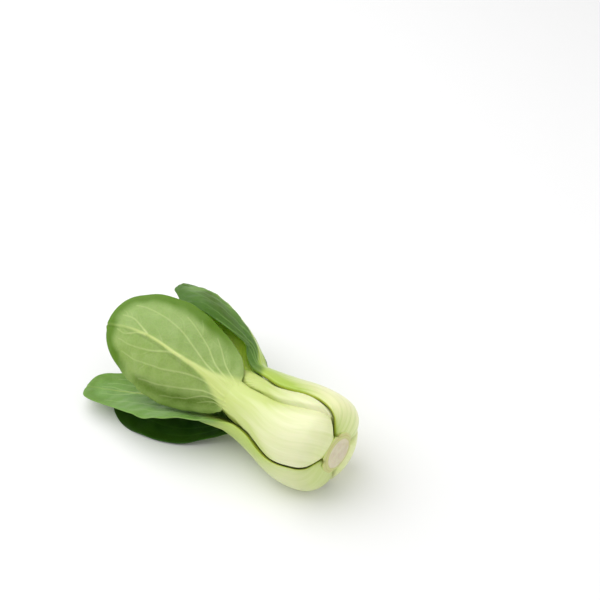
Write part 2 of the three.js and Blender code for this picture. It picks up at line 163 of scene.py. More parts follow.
def shell_point(s, azimuth, depth):
    """A point at a depth under the head's outline; roots of deeper leaves sit on the stem's cone."""
    m = s - CONE_SLOPE * depth * np.maximum(0, 1 - s / CONE_FADE)
    du = along(OUTLINE, m + 0.5) - along(OUTLINE, m - 0.5)
    dr = along(OUTLINE, m + 0.5, 2) - along(OUTLINE, m - 0.5, 2)
    length = np.maximum(np.hypot(du, dr), 1e-9)
    radius = np.maximum(0.2, along(OUTLINE, m, 2) - du / length * depth)
    return round_axis(radius, azimuth, along(OUTLINE, m) + dr / length * depth)


class Leaf:
    """One leaf. A value that varies along it is a list of knots that start with their station.

    stalk, stretch, width, thickness: form of the stalk, and how it is scaled
    azimuth, sink, lobe: place round the head, depth in it, and how far the sides curl in
    under, gap, dive: leaves that lie over it, the gap to them, and how much deeper it is at the neck
    free, route, facing, curl: station where it leaves its layer, and its spine, the azimuth of its back
        and the radius of its section from there on
    blade, fore, aft, skew, trim: half width of the oval blade, the exponents of its two ends, and how the
        sides and the outline differ from it
    open, fold, wave, waves, lip, shaded_creases: relief of the blade, where shaded_creases add painted
    shade;
    open and lip are for the side where x > 0
    rib, rim_sides, flanks, sheen: how much of each the finish shows, by side where there are two
    spacing: how many times coarser its grid is than the others'
    """

    def __init__(self, name, **values):
        defaults = dict(
            stalk=WIDE_STALK, stretch=1, width=1, thickness=1, sink=0, lobe=1.5, under=[], gap=0, dive=0,
            free=None, fore=0.5, aft=0.5, skew=0, trim=[(0, 1)], open=[(0, 1)], fold=0.05, wave=0.8,
            waves=2.2, lip=[(0, 0)], shaded_creases=[], rib=1, rim_sides=(1, 1), flanks=(1, 1),
            sheen=(0, 0, 0), spacing=1,
        )
        self.__dict__.update({**defaults, **values})
        self.name = name
        for key in ("azimuth", "skew", "facing", "gap", "sink"):
            if not isinstance(getattr(self, key), list):
                setattr(self, key, [(0, getattr(self, key))])
        self.bend = [(s, 1 / radius) for s, radius in self.curl]
        self.neck = NECK * self.stretch
        if self.free is None:
            self.free = self.neck
        packed = [self.free + knot for knot in PACKED_KNOTS] if self.free > 0 else []
        points = [(s, *self.packed_spine(np.array(float(s)))) for s in packed]
        self.path = points + self.route
        self.length = self.route[-1][0]

    def half_stalk(self, s):
        return self.width * along(self.stalk, s / self.stretch, 1)

    def middle_thickness(self, s):
        return self.thickness * along(self.stalk, s / self.stretch, 2)

    def thickness_at(self, s, x):
        margin = along(self.stalk, s / self.stretch, 3)
        q = np.minimum(1, np.abs(x) / self.half_stalk(s))
        return margin + np.maximum(0, self.middle_thickness(s) - margin) * (1 - q * q) ** STALK_CURVE

    def lowered(self, s, x):
        """How far the blade lies under the back of its rib, which stands out on both sides."""
        stands_out = RIB_SHARE * smooth_step(*RIB_RISE, s - self.neck)
        return stands_out * (self.middle_thickness(s) - self.thickness_at(s, x))

    def middle_azimuth(self, s):
        return np.radians(along(self.azimuth, s / self.stretch))

    def freedom(self, s):
        """0 where the leaf lies packed in its layer, 1 where it follows its own route."""
        return smooth_step(self.free - FREE_BEFORE, self.free + FREE_AFTER, s)

    def turn_to(self, s, azimuth):
        turn = azimuth - self.middle_azimuth(s)
        return np.arctan2(np.sin(turn), np.cos(turn))

    def outer_depth(self, s, azimuth):
        """Depth of the stalk's outer face; the leaves over it push it down."""
        x = self.turn_to(s, azimuth) * along(OUTLINE, s, 2)
        q = np.minimum(COVER_EDGE, np.abs(x) / self.half_stalk(s))
        depth = along(self.sink, s) + self.lobe * q * q + self.dive * smooth_step(DIVE_START, NECK, s)
        for over in self.under:
            reach = COVER_REACH / along(OUTLINE, s, 2)
            covers = [over.inner_depth(s, azimuth + turn) for turn in (-reach, 0, reach)]
            depth = smooth_max(depth, np.maximum.reduce(covers) + along(self.gap, s))
        return depth

    def inner_depth(self, s, azimuth):
        radius = along(OUTLINE, s, 2)
        half = self.half_stalk(s)
        x = self.turn_to(s, azimuth) * radius
        inside = np.clip(x, -half, half)
        at = self.middle_azimuth(s) + inside / radius
        depth = self.outer_depth(s, at) + self.lowered(s, inside) + self.thickness_at(s, inside)
        return depth - np.maximum(0, np.abs(x) - half) * COVER_SLOPE

    def packed_spine(self, s):
        azimuth = self.middle_azimuth(s)
        return shell_point(s, azimuth, self.outer_depth(s, azimuth))

    def spine(self, s):
        routed = np.stack([along(self.path, s, k) for k in (1, 2, 3)], axis=-1)
        return np.where((s <= self.free)[..., None], self.packed_spine(s), routed)

    def half_width(self, s):
        """Half width of the whole leaf: the stalk, and past the neck the oval blade too."""
        q = np.clip((s - self.neck) / (self.length - self.neck), 0, 1)
        oval = self.blade * 2 ** (self.fore + self.aft) * q**self.fore * (1 - q) ** self.aft
        stalk = self.half_stalk(s) * (1 - RIB_TAPER * q)
        return np.hypot(stalk, OVAL_SHARE * oval * along(self.trim, s))

    def side_width(self, s, side):
        return self.half_width(s) * (1 - np.sign(side) * along(self.skew, s))

    def sheet(self, s, x):
        """Points of the leaf's reference sheet on a grid: s down the rows, x across them."""
        s_row = s[:, :1]
        free = self.freedom(s_row)[..., None]
        spine = self.spine(s_row)
        azimuth = self.middle_azimuth(s_row) + x / along(OUTLINE, s_row, 2)
        depth = self.outer_depth(s, azimuth)
        packed = shell_point(s, azimuth, depth) - self.packed_spine(s_row)
        ahead, behind = np.minimum(s_row + 1, self.length), np.maximum(s_row - 1, 0)
        tangent = unit(self.spine(ahead) - self.spine(behind))
        facing = np.radians(along(self.facing, s_row))
        out = round_axis(1.0, facing, 0.0)
        out = unit(out - tangent * np.sum(out * tangent, axis=-1, keepdims=True))
        side = np.cross(out, tangent)
        bend = along(self.bend, s_row) * np.where(x > 0, along(self.open, s_row), 1)
        bend = np.where(np.abs(bend) < FLAT_BEND, FLAT_BEND, bend)
        q = (s_row - self.neck) / (self.length - self.neck)
        edge = np.minimum(1, np.abs(x) / self.blade) ** 2
        turns = 2 * np.pi * self.waves * q + np.where(x > 0, SIDE_PHASE, 0)
        wave = self.wave * edge * np.sin(turns)
        fold = self.fold * (np.hypot(x, FOLD_ROUNDING) - FOLD_ROUNDING)
        rise = (np.cos(bend * x) - 1) / bend + wave - fold
        reach = np.sin(bend * x) / bend
        routed = side * reach[..., None] + out * rise[..., None]
        points = spine + (1 - free) * packed + free * routed
        inward = unit(shell_point(s, azimuth, depth + 1) - shell_point(s, azimuth, depth))
        across, lengthwise = np.gradient(points, axis=1), np.gradient(points, axis=0)
        inward = unit((1 - free) * inward + free * unit(np.cross(across, lengthwise)))
        return points, inward


left = Leaf(
    "leaf_left",
    azimuth=[(0, -126), (22, -126), (36, -129), (46, -127), (56, -119.5), (74, -119)],
    stalk=SLIM_STALK, blade=24.2, aft=0.4, fold=0.02, sink=[(15, 0), (40, -0.9), (60, 0)],
    skew=[(0, 0), (120, 0.02), (150, 0.05), (163, 0.08)], open=[(62, 1), (76, 0)],
    trim=[(118, 1), (130, 0.92), (140, 0.82), (150, 0.78), (156, 0.88), (160, 1), (163, 1.2)],
    rim_sides=(0.5, 0.3), sheen=(0.5, 2, 130),
    route=[(92, 80, -17.5, -12), (110, 98, -18, -13.5), (126, 114, -20.5, -15.5),
           (142, 129, -25.2, -17.9), (163, 148.4, -33.6, -18.4)],
    facing=[(64, -121), (78, -136), (92, -150), (110, -162), (163, -165)],
    curl=[(64, 14), (80, 12), (92, 18), (110, 30), (126, 60), (163, 80)],
)
far = Leaf(
    "leaf_far",
    azimuth=[(0, 50), (14, 50), (26, 52.5), (36, 50), (44, 45), (55, 42), (66, 49), (80, 53)],
    stalk=SLIM_STALK, blade=21, fore=0.66, aft=0.3, rim_sides=(0.9, 0.2), sheen=(0.8, -4, 128), rib=0.45,
    # A band of painted shade only, with no crease in the form
    shaded_creases=[([(128, -5), (118, -9), (100, -12), (88, -12)], 4.5, 0)],
    sink=[(15, 0), (35, 0.8), (50, 0.5), (66, 0)],
    skew=[(0, -0.05), (100, -0.05), (126, 0.12), (136, -0.06), (144, -0.27), (149, -0.3)],
    route=[(82, 69, 20.8, 14), (90, 76.5, 24.8, 17), (98, 84, 27.8, 19.2), (114, 99.5, 32, 22.3),
           (130, 115.5, 33.8, 22.8), (149, 134.2, 31, 20)],
    facing=[(64, 50), (78, 57), (92, 55), (110, 50), (130, 40), (148, 28)],
    curl=[(64, 18), (78, 50), (92, 34), (120, 32), (148, 40)],
)
top = Leaf(
    "leaf_top",
    azimuth=[(0, -33), (10, -36), (20, -43), (30, -50), (44, -51), (57, -46), (70, -43), (80, -37)],
    stalk=NARROW_STALK, blade=29.6, fore=0.42, aft=0.42, under=[left, far],
    gap=[(0, 0.05), (50, 0.1), (70, 0.3)],
    rim_sides=(0.2, 1), lip=[(0, 0), (8, 0.7), (20, 1.3), (44, 1.1), (70, 0.4), (80, 0)],
    shaded_creases=[([(128, -26), (110, -24), (94, -19.5), (79, -11)], 3.6, 0.9)],
    # flanks: its side towards the left leaf is greener, as painted shade from that leaf
    sheen=(0.3, 6, 112), flanks=(2, 0.8),
    skew=[(50, 0), (90, 0.06), (125, 0.05), (146, 0.08), (160, 0.14)],
    route=[(94, 80, -12.5, 19), (112, 97, -14, 23), (130, 114.5, -14.6, 25.5),
           (146, 130, -16.2, 24.4), (160, 143.2, -17.8, 20.2)],
    facing=[(64, -40), (90, -38), (160, -38)],
    curl=[(64, 18), (78, 26), (95, 40), (115, 55), (160, 45)],
)
under = Leaf(
    "leaf_under",
    azimuth=[(0, 141), (40, 141), (60, 131), (74, 128)],
    blade=21.5, fore=0.75, gap=0.9, under=[left, far],
    skew=[(0, 0.1), (60, 0.12), (70, 0.3), (80, 0.34), (92, 0.2), (112, 0.1)],
    route=[(92, 80.5, 18.5, -14.5), (110, 98, 22.5, -17), (126, 114, 25.5, -17.5),
           (142, 129.5, 27.5, -17), (154, 141.5, 28.5, -15.5)],
    facing=[(64, 130), (90, 126), (154, 124)],
    curl=[(64, 16), (90, 24), (120, 26), (154, 34)],
)


def second_leaf(name, **values):
    """A leaf of the second ring, smaller than the outer ones."""
    shared = dict(stretch=0.93, thickness=0.82, lobe=1, fore=0.62, sink=1, spacing=1.35)
    return Leaf(name, **{**shared, **values})


between = second_leaf(
    "leaf_between",
    azimuth=[(0, 0), (50, 0), (66, 6), (80, 2)],
    width=0.86, blade=19, fore=0.74, dive=1.6, under=[top, far], open=[(74, 1), (90, 0.3)],
    gap=[(0, 0.05), (58, 0.1), (72, 1.1)], skew=[(0, -0.15), (60, -0.15), (80, -0.1)],
    route=[(84, 72, 2, 15), (100, 88, 5.5, 17), (118, 106, 8.5, 19), (136, 124, 10, 20.5)],
    facing=[(60, 2), (80, -3), (136, -2)],
    curl=[(60, 9), (74, 9.5), (86, 15), (136, 20)],
)
near = second_leaf(
    "leaf_near", azimuth=-86, width=0.76, blade=11.5, gap=1.2, dive=1.5, under=[top, left],
    route=[(84, 72, -12.8, 3), (100, 88, -12.4, 5), (116, 104, -12.8, 6.5), (130, 118, -13.2, 7.5)],
    facing=[(60, -88), (80, -90), (130, -88)],
    curl=[(60, 15), (84, 20), (130, 24)],
)
back = second_leaf(
    "leaf_back", azimuth=93, width=0.78, blade=16, gap=1.2, dive=1.2, under=[far, under],
    route=[(84, 72, 13.6, 0), (100, 88, 14.2, 0), (116, 104, 16, -0.5), (132, 120, 17.5, -0.5)],
    facing=[(60, 92), (80, 86), (132, 86)],
    curl=[(60, 11), (84, 15), (132, 20)],
)
low = second_leaf(
    "leaf_low", azimuth=180, width=0.72, blade=22.6, fore=0.9, fold=0, gap=1.3, free=62,
    under=[left, under], skew=[(62, 0), (92, 0.09)], open=[(60, 1), (74, 0)],
    route=[(74, 61.5, -0.8, -18.4), (82, 68.8, -3.5, -19.8), (94, 80, -8, -23.2),
           (110, 95, -13, -25.6), (126, 110.5, -16.5, -26), (142, 126, -19.5, -25.6),
           (153, 137, -22, -25)],
    facing=180,
    curl=[(50, 14), (72, 13), (84, 15), (100, 26), (126, 60), (153, 60)],
)


def inner_leaf(letter, turn):
    """A small leaf of the third ring, which stands round the heart."""
    azimuth, length = 48 + 90 * turn, 96 - 3 * turn
    y, z = math.sin(math.radians(azimuth)), math.cos(math.radians(azimuth))
    radii = [(0, 8.8), (12, 11.4), (24, 11), (40, 9), (54, 7.8), (70, 7.4), (length, 8.6)]
    return Leaf(
        "leaf_inner_" + letter, azimuth=azimuth, stretch=0.72, width=0.33, thickness=0.5, lobe=0,
        free=-10, wave=0.3, waves=1.6, blade=7, spacing=1.5,
        route=[(s, 14 + s, radius * y, radius * z) for s, radius in radii],
        facing=[(0, azimuth), (40, azimuth - 4), (56, azimuth - 16), (length, azimuth - 20)],
        curl=[(0, 9), (40, 8), (56, 7.5), (length, 9)],
    )


OUTER_LEAVES = [left, far, top, under]
SECOND_RING = [between, near, back, low]
INNER_LEAVES = [inner_leaf(letter, turn) for turn, letter in enumerate("abcd")]

# Veins and fine relief, as points (s, x) of a leaf

VEIN_NECK, VEIN_LENGTH, VEIN_BLADE = 74, 160, 29.6  # neck, length and half width of the leaf they fit
MAIN_VEIN, BRANCH_VEIN, VEINLET = (0.5, 0.34), (0.36, 0.3), (0.32, 0.26)  # half width at start and end
VEINLET_STARTS = np.arange(0.35, 0.95, 0.12)  # shares of a main vein's length
VEINLET_SHIFT = 0.04  # most that such a share is off
VEINLET_TURN = (0.6, 0.95)  # angle to the main vein, in radians
VEINLET_LENGTH = (3, 6.5)
VEIN_REACH, VEIN_EXTRA = 2.5, 1  # how many half widths, and millimetres more, a vein's effect reaches
VEINS = [
    [(78, 3), (94, 4), (106, 8), (117, 11.5), (139, 13.5), (146, 13)],
    [(75, 4.5), (91, 7), (101, 13), (112, 17.5), (120, 19.5)],
    [(73, 6.5), (86, 10), (94, 15.5), (99, 19.5)],
    [(132, 0.5), (138, 3), (144, 5.5), (151, 6)],
    [(109, -0.5), (115, -1), (126, -6.5), (139, -8.5), (150, -7)],
    [(133, -0.5), (138, -1), (146, -3.5), (152, -2)],
    [(75, -3), (90, -3.5), (104, -7), (117, -12), (134, -15), (146, -13)],
    [(73, -5), (85, -7.5), (100, -14.5), (117, -21.5), (127, -24)],
    [(72, -7), (85, -10.5), (97, -20), (110, -25.5)],
    [(70, -8.5), (80, -11), (88, -17.5)],
]
BRANCHES = [
    [(115, 11.5), (121, 16.5), (127, 17.5)], [(106, 16), (109, 20.5), (112, 23)],
    [(125, -14.5), (130, -20), (137, -23.5)], [(97, 9.5), (99, 12.5), (100, 17)],
    [(126, -6.5), (131, -11), (138, -12.5)], [(121, 0), (127, 4), (134, 7.5)],
]


def curve(points, steps=36):
    """A smooth line through points of leaf space."""
    points = np.asarray(points, float)
    legs = np.linalg.norm(np.diff(points, axis=0), axis=1)
    knots = np.column_stack([np.concatenate([[0], np.cumsum(legs)]), points])
    t = np.linspace(0, knots[-1, 0], steps)
    return np.column_stack([along(knots, t, 1), along(knots, t, 2)])


def side_veins(leaf, rng):
    """Lines of (s, x) that leave the rib, each with its start and end half width."""
    stretch = (leaf.length - leaf.neck) / (VEIN_LENGTH - VEIN_NECK)
    widen = leaf.blade / VEIN_BLADE

    def fitted(line):
        line = np.asarray(line, float)
        stations = leaf.neck + (line[:, 0] - VEIN_NECK) * stretch
        return curve(np.column_stack([stations, line[:, 1] * widen]))

    def step(angle, length):
        return length * np.array([math.cos(angle), math.sin(angle)])

    main = [(fitted(line), *MAIN_VEIN) for line in VEINS]
    small = [(fitted(line), *BRANCH_VEIN) for line in BRANCHES]
    for line, _, _ in main:
        for t in VEINLET_STARTS:
            i = int((t + rng.uniform(-VEINLET_SHIFT, VEINLET_SHIFT)) * (len(line) - 2)) + 1
            turn = rng.uniform(*VEINLET_TURN) * (1 if rng.random() < 0.5 else -1)
            heading = line[i + 1] - line[i - 1] if i + 1 < len(line) else line[i] - line[i - 1]
            angle = math.atan2(heading[1], heading[0]) + turn
            half_length = 0.5 * rng.uniform(*VEINLET_LENGTH) * widen
            bow = line[i] + step(angle, half_length)
            end = bow + step(angle - 0.5 * turn, half_length)
            small.append((curve([line[i], bow, end], 10), *VEINLET))
    return main, small


def vein_mask(veins, s, x, fading=0.6):
    """1 on a vein and falling off across it; it also fades along the vein."""
    mask = np.zeros(s.shape)
    for line, start, end in veins:
        margin = VEIN_REACH * max(start, end) + VEIN_EXTRA
        (low_s, low_x), (high_s, high_x) = line.min(axis=0) - margin, line.max(axis=0) + margin
        near_by = np.nonzero((s > low_s) & (s < high_s) & (x > low_x) & (x < high_x))
        if not len(near_by[0]):
            continue
        point = np.stack([s[near_by], x[near_by]], axis=-1)
        best = np.zeros(len(point))
        for i, (a, b) in enumerate(zip(line[:-1], line[1:])):
            leg = b - a
            t = np.clip(((point - a) @ leg) / max(leg @ leg, 1e-9), 0, 1)
            distance = np.linalg.norm(point - a - t[:, None] * leg, axis=-1)
            share = (i + t) / (len(line) - 1)
            half = start + (end - start) * share
            best = np.maximum(best, (1 - fading * share) * np.exp(-((distance / half) ** 2)))
        mask[near_by] = np.maximum(mask[near_by], best)
    return mask


# Station, and half width of the pale stalk and rib
PALE = [
    (0, 40), (62, 30), (70, 13), (76, 8.6), (83, 5.2), (88, 3.1), (95, 1.7), (104, 0.95), (114, 0.62),
    (130, 0.4), (185, 0.3),
]
MARGIN_ROWS = 60  # how many rows to each side can hold the closest point of the margin


def margin_distance(leaf, s, x):
    """Distance in leaf space to the leaf's margin."""
    rows = s[:, 0]
    closest = np.full(s.shape, 1e9)
    for side in (-1, 1):
        edge = np.stack([rows, side * leaf.side_width(rows, side)], axis=-1)
        edge = np.concatenate([edge, [[leaf.length, 0]]])
        for i in range(len(rows)):
            near_by = edge[max(0, i - MARGIN_ROWS): i + MARGIN_ROWS]
            distance = np.hypot(near_by[:, 0, None] - s[i], near_by[:, 1, None] - x[i])
            closest[i] = np.minimum(closest[i], distance.min(axis=0))
    return closest


def ripple(s, x, length, rng, count=5):
    """Soft waves of about one length in several directions, mostly between -1 and 1."""
    total = np.zeros(np.broadcast(s, x).shape)
    for _ in range(count):
        heading, phase = rng.uniform(0, math.pi), rng.uniform(0, 2 * math.pi)
        k = 2 * math.pi / (length * rng.uniform(0.75, 1.3))
        total += np.sin(k * (s * math.cos(heading) + x * math.sin(heading)) + phase)
    return total / math.sqrt(count) / 1.4


LEAF_START = -1.2  # station of a leaf's own base, sunk in the stem
TIP_SHARE = 0.9999  # how much of the way to the pointed tip the last row lies
STALK_SPACING = 1.25  # how many times further apart a stalk's rows are than a blade's
TIP_CROWDING, MARGIN_CROWDING = 0.65, 0.25  # how strongly the grid crowds towards the tip and margins
STALK_ROUNDING, BLADE_ROUNDING = 1.0, 1.6  # width of a stalk's round margin, and what a blade adds
RIM_WIDTH = (3.2, 9.2)  # distances from the margin at which the rim's colour starts to fade and is gone
RIM_UNEVEN, RIM_LENGTH = 0.9, 14  # how far the rim's inner edge wanders, and over what length
# Painted sheen: light reflected off a blade, painted as a greyer green
PAINTED_SHEEN_FADE = (-12, 6)  # distances across the edge of the painted sheen over which it comes in
PAINTED_SHEEN_SLANT = 0.2  # how much that edge runs across the leaf
PUCKER_LENGTH, RUFFLE_LENGTH = 9, 13  # lengths of the waves between the veins and along a margin
RUFFLE_REACH = 5  # distance from the margin at which its waves have mostly died away
RUFFLE_SEED = 7  # shift from a leaf's seed to that of these waves
LIP_WIDTH = (0.3, 8)  # distances from the margin over which the bent lip starts
VEIN_END, PUCKER_END = 1.5, 4  # distances from the margin at which their relief starts to sink
SEED_STEP, PLACE_STEP = 31, 0.3  # shifts from leaf to leaf of the random draws, and of the finish's noise

# Distances from the neck, or from the tip, over which something comes in
BLADE_START, RIB_NARROWS, RIM_START, VEINS_RISE = (-18, 4), (-18, -2), (4, 30), (-16, 0)
TIP_GREENS, RIM_EVENS = (-40, 0), (-26, -8)

# Green of a stalk, with the range over which it comes in or goes out
NECK_GREEN = (0.25, 1.05)  # as shares of the way to the neck
SIDE_GREEN, SIDE_ACROSS, SIDE_LENGTHWISE = 0.75, (0.35, 1), (0.3, 0.8)
MARGIN_GREEN, MARGIN_FADE = 0.3, 3
# Painted shade: greener and darker towards the base, where the bulb turns away from the light near the
# ring
BASE_SHADE, BASE_FADE = 0.5, (3, 22)


def leaf_grid(leaf, spacing):
    """Stations and distances of a grid over the leaf, closer at the tip and the margins."""
    stalk_rows = int(leaf.neck / (spacing * STALK_SPACING))
    blade_rows = int((leaf.length - leaf.neck) / spacing)
    stalk = np.linspace(LEAF_START, leaf.neck, stalk_rows, endpoint=False)
    q = np.linspace(0, 1, blade_rows)
    q = 1 - (1 - q) * (1 - TIP_CROWDING + TIP_CROWDING * (1 - q))
    rows = np.concatenate([stalk, leaf.neck + (leaf.length - leaf.neck) * q * TIP_SHARE])
    columns = 2 * int(leaf.blade / spacing * OVAL_SHARE)
    c = np.linspace(-1, 1, columns + 1)
    c = c * (1 + MARGIN_CROWDING - MARGIN_CROWDING * c * c)
    s = np.repeat(rows[:, None], len(c), axis=1)
    width = np.where(c < 0, leaf.side_width(rows, -1)[:, None], leaf.side_width(rows, 1)[:, None])
    return s, width * c


def rounded_taper(s, edge, free):
    """1 inside a leaf, falling to 0 over its round margin, tip and base."""
    share = np.minimum(1, edge / (STALK_ROUNDING + BLADE_ROUNDING * free))
    base = np.clip((s - LEAF_START) / -LEAF_START, 0, 1)
    return np.sqrt(1 - (1 - share) ** 2) * np.sqrt(1 - (1 - base) ** 2)


def blade_mask(leaf, s, x):
    """0 on the pale stalk and rib, 1 on the green blade; the rib fades out at the tip."""
    narrower = 1 - (1 - leaf.rib) * smooth_step(*RIB_NARROWS, s - leaf.neck)
    pale = leaf.width * narrower * along(PALE, s / leaf.stretch)
    beside_rib = smooth_step(0.6 * pale, 1.5 * pale + 0.3, np.abs(x))
    blade = beside_rib * smooth_step(*BLADE_START, s - leaf.neck)
    tip = smooth_step(*TIP_GREENS, s - leaf.length)
    return 1 - (1 - blade) * (1 - 0.9 * tip)


def rim_and_shade_mask(leaf, s, x, edge, rng):
    """How dark a blade is along its margin; each side has its own share, the tip the larger one."""
    # Partly the blade's own deeper green at its margin and partly painted shade where the margin curls
    # away from the light
    side = np.where(x < 0, *leaf.rim_sides)
    side = side + (max(leaf.rim_sides) - side) * smooth_step(*RIM_EVENS, s - leaf.length)
    side = side * smooth_step(*RIM_START, s - leaf.neck)
    return side * (1 - smooth_step(*RIM_WIDTH, edge + RIM_UNEVEN * ripple(s, x, RIM_LENGTH, rng, 3)))


def folds(leaf, s, x):
    """Painted shade in a crease's band, from 0 to 1, and the crease's depth there."""
    inside, depth = np.zeros(s.shape), np.zeros(s.shape)
    for points, half_width, most in leaf.shaded_creases:
        band = vein_mask([(curve(points), half_width, half_width)], s, x, 0)
        inside, depth = np.maximum(inside, band), np.maximum(depth, band * most)
    return inside, depth


def green_mask(leaf, s, x, edge):
    """How green a stalk is: more towards the neck, along its sides and margins, and at its base."""
    sides = smooth_step(*SIDE_ACROSS, np.abs(x) / leaf.half_stalk(s))
    # On the top leaf the side by the left leaf is greener still: painted shade from that leaf
    sides = sides * smooth_step(*SIDE_LENGTHWISE, s / leaf.neck) * np.where(x < 0, *leaf.flanks)
    green = smooth_step(*NECK_GREEN, s / leaf.neck) + SIDE_GREEN * sides
    green = green + MARGIN_GREEN * np.exp(-edge / MARGIN_FADE)
    # Painted shade near the base
    return green + BASE_SHADE * (1 - smooth_step(*BASE_FADE, s))


def leaf_skins(leaf, form, seed):
    """Outer and inner skins of a leaf in the head's own frame, and the masks that its finish reads."""
    rng = np.random.default_rng(seed)
    s, x = leaf_grid(leaf, form.spacing / MM * leaf.spacing * (1))
    sheet, inward = leaf.sheet(s, x)
    thickness = leaf.thickness_at(s, x)
    sheet = sheet + inward * leaf.lowered(s, x)[..., None]
    free = leaf.freedom(s)
    edge = margin_distance(leaf, s, x)
    half = thickness / 2 * rounded_taper(s, edge, free)
    middle = sheet + inward * (thickness / 2)[..., None]

    main, small = side_veins(leaf, rng)
    vein, veinlet = vein_mask(main, s, x), vein_mask(small, s, x)
    blade = blade_mask(leaf, s, x)
    rim = rim_and_shade_mask(leaf, s, x, edge, rng)
    deep, crease = folds(leaf, s, x)
    # Painted sheen: reflected light, painted on one side of a slanting line across the blade
    strength, x_from, s_from = leaf.sheen
    sheen = strength * smooth_step(*PAINTED_SHEEN_FADE, x - x_from + PAINTED_SHEEN_SLANT * (s - s_from))

    pucker = form.pucker / MM * blade * (1 - 0.8 * vein) * np.minimum(1, edge / PUCKER_END)
    bow = pucker * ripple(s, x, PUCKER_LENGTH, rng)
    margins = [np.random.default_rng(seed + RUFFLE_SEED + side) for side in (0, 1)]
    waves = np.where(x < 0, *[ripple(s, 0 * x, RUFFLE_LENGTH, side_rng, 3) for side_rng in margins])
    bow = bow + form.ruffle / MM * free * np.exp(-edge / RUFFLE_REACH) * waves - crease
    bow = bow - np.where(x > 0, along(leaf.lip, s), 0) * (1 - smooth_step(*LIP_WIDTH, edge))
    raised = np.maximum(vein, 0.4 * veinlet) * smooth_step(*VEINS_RISE, s - leaf.neck)
    ridge = form.vein_height / MM * raised * np.minimum(1, edge / VEIN_END)
    groove = form.vein_groove / MM * raised * np.minimum(1, edge / VEIN_END)
    outer = middle - inward * (half + bow + ridge)[..., None]
    inner = middle + inward * (half - bow - groove)[..., None]
    masks = {
        "blade": blade, "vein": vein, "veinlet": veinlet, "rim": rim, "deep": deep, "sheen": sheen,
        "green": green_mask(leaf, s, x, edge), "free": free,
    }
    return s, x, outer, inner, masks


# Meshes


def to_part(points):
    """From the head's own frame in millimetres to the part's frame in metres, on or over the surface."""
    placed = points * MM * np.array([-1, 1, 1]) + np.array([CUT_X, AXIS_Y, AXIS_Z])
    placed[..., 2] = np.maximum(placed[..., 2], 0)
    return placed


def new_mesh(name, points, quads, attributes):
    mesh = bpy.data.meshes.new(name)
    mesh.vertices.add(len(points))
    mesh.vertices.foreach_set("co", points.astype(np.float32).ravel())
    mesh.loops.add(quads.size)
    mesh.loops.foreach_set("vertex_index", quads.astype(np.int32).ravel())
    mesh.polygons.add(len(quads))
    mesh.polygons.foreach_set("loop_start", np.arange(0, quads.size, 4, dtype=np.int32))
    mesh.update(calc_edges=True)
    mesh.polygons.foreach_set("use_smooth", np.ones(len(quads), dtype=bool))
    for key, values in attributes.items():
        if values.ndim == 1:
            layer = mesh.attributes.new(key, "FLOAT", "POINT")
            layer.data.foreach_set("value", values.astype(np.float32))
        else:
            layer = mesh.attributes.new(key, "FLOAT_VECTOR", "POINT")
            layer.data.foreach_set("vector", values.astype(np.float32).ravel())
    mesh.validate()
    piece = bpy.data.objects.new(name, mesh)
    bpy.context.scene.collection.objects.link(piece)
    return piece


def grid_quads(index):
    corners = [index[:-1, :-1], index[:-1, 1:], index[1:, 1:], index[1:, :-1]]
    return np.stack(corners, axis=-1).reshape(-1, 4)


def leaf_piece(leaf, form, number):
    """A closed leaf: the two skins share the points of their rim."""
    s, x, outer, inner, masks = leaf_skins(leaf, form, form.seed + SEED_STEP * number)
    rows, wide = s.shape
    index = np.arange(rows * wide).reshape(rows, wide)
    inside = index.copy()
    core = (slice(1, -1), slice(1, -1))
    inside[core] = rows * wide + np.arange((rows - 2) * (wide - 2)).reshape(rows - 2, wide - 2)

    def both(values):
        kept = (-1,) + values.shape[2:]
        return np.concatenate([values.reshape(kept), values[core].reshape(kept)])

    points = np.concatenate([outer.reshape(-1, 3), inner[core].reshape(-1, 3)])
    quads = np.concatenate([grid_quads(index), grid_quads(inside)[:, ::-1]])
    side = np.zeros((rows, wide))
    side[0], side[-1], side[:, 0], side[:, -1] = 0.5, 0.5, 0.5, 0.5
    attributes = {key: both(values) for key, values in masks.items()}
    attributes["face"] = np.concatenate([side.ravel(), np.ones(side[core].size)])
    place = np.stack([x * MM, s * MM, np.full(s.shape, PLACE_STEP * number)], axis=-1)
    attributes["place"] = both(place)
    return new_mesh(leaf.name.replace("leaf_", "grown_leaf_"), to_part(points), quads, attributes)


# Distance u along the head, and radius of the stem, from the middle of the cut face to the cone's end
CROWN_PROFILE = [
    (0.3, 0.01), (0.3, 2.0), (0.26, 4.5), (0.16, 7.0), (0.07, 8.0), (0.03, 8.5), (0.04, 8.9),
    (0.1, 9.4), (0.26, 10.0), (0.52, 10.7), (0.85, 11.4), (1.3, 11.9), (2.6, 10.9), (3.6, 9.0),
    (20, 3.6), (22.4, 0.01),
]
RING_START = 9.4  # radius from which the ring slides over the leaves' bases, but not between them
RING_RADIUS, RING_BAND, RING_UNEVEN = 9.6, 1.2, 0.12  # where the ring is uneven, and how much
NOTCHES = (-80, 8, 95, -173)  # azimuths where two outer leaves meet
NOTCH_DEPTH, NOTCH_WIDTH = 0.62, 0.13  # share of the ring that is gone there, and width in radians
FACE_RADIUS, FACE_ROUGHNESS, FACE_RINGS = 8.4, 0.05, 3.1  # rough part of the cut face, and its waves
CONE_KNOT, CONE_DEPTH = 12, 3  # knot of the profile, and distance u, from which the stem is hidden


